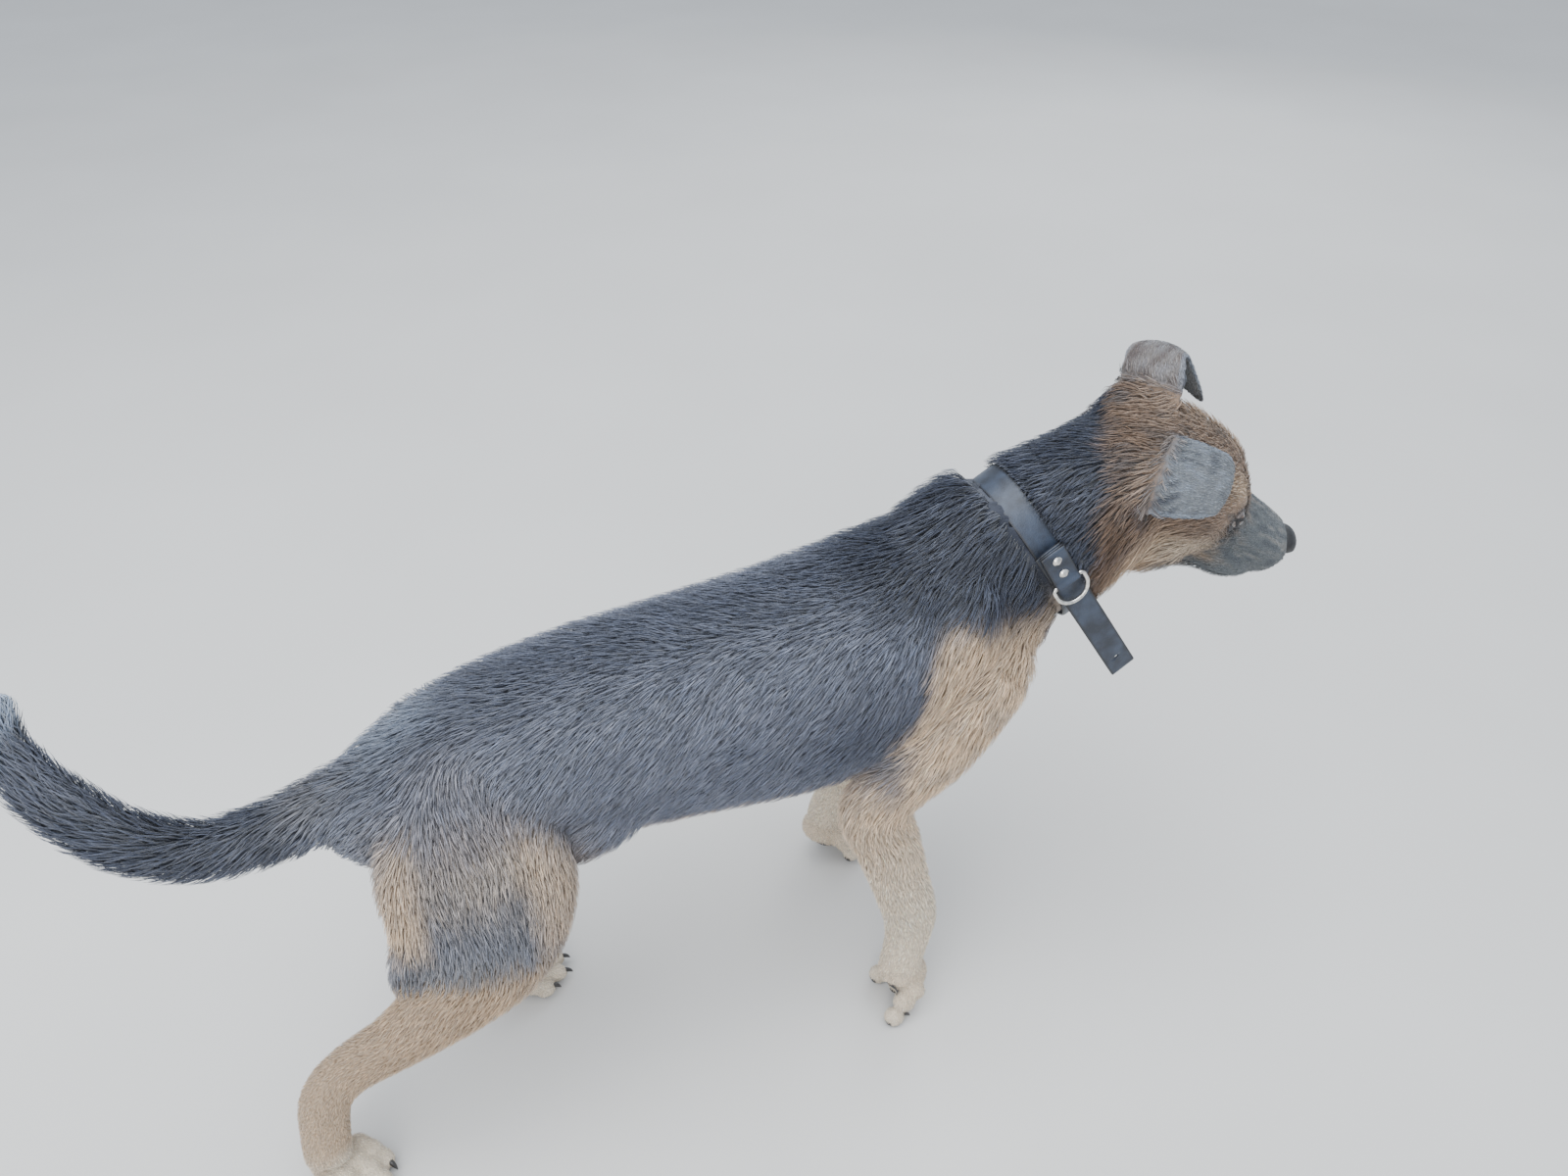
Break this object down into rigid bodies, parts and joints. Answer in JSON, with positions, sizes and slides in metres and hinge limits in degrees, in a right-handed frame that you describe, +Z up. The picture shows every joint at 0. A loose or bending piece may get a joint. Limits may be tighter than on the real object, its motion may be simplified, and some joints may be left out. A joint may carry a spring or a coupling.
{
  "type": "dog",
  "caption": "Young shepherd-cross dog in mid-step, head bowed and turned, half-pricked ears, tail up, wearing a leather collar with a loose strap end.",
  "frame": {"origin": "on the floor under the middle of the dog's length and width", "axes": "+X the way the dog's body faces, +Y its left side, +Z up"},
  "size_m": [1.2134, 0.3108, 0.698],
  "materials": {
    "coat_black": "charcoal blue-grey fur of the saddle, neck, ears and tail",
    "coat_tan": "fawn and cream fur of the head, chest and legs",
    "leather": "smooth black leather, slightly glossy",
    "metal": "polished nickel",
    "eye": "wet dark brown eye",
    "nose": "pebbled black nose leather"
  },
  "bodies": {
    "root": {"head": "coat_tan", "nose": "nose", "ear_left": "coat_black", "ear_right": "coat_black", "eye_left": "eye", "eye_right": "eye", "neck": "coat_black", "trunk": "coat_black", "tail_root": "coat_black", "tail_tip": "coat_black", "foreleg_left": "coat_tan", "foreleg_right": "coat_tan", "forepaw_left": "coat_tan", "forepaw_right": "coat_tan", "thigh_left": "coat_tan", "thigh_right": "coat_tan", "shank_left": "coat_tan", "shank_right": "coat_tan", "hindpaw_left": "coat_tan", "hindpaw_right": "coat_tan", "collar_band": "leather", "collar_fold": "leather", "collar_strap_end": "leather", "collar_ring": "metal", "collar_rivet_upper": "metal", "collar_rivet_lower": "metal"}
  },
  "joints": []
}
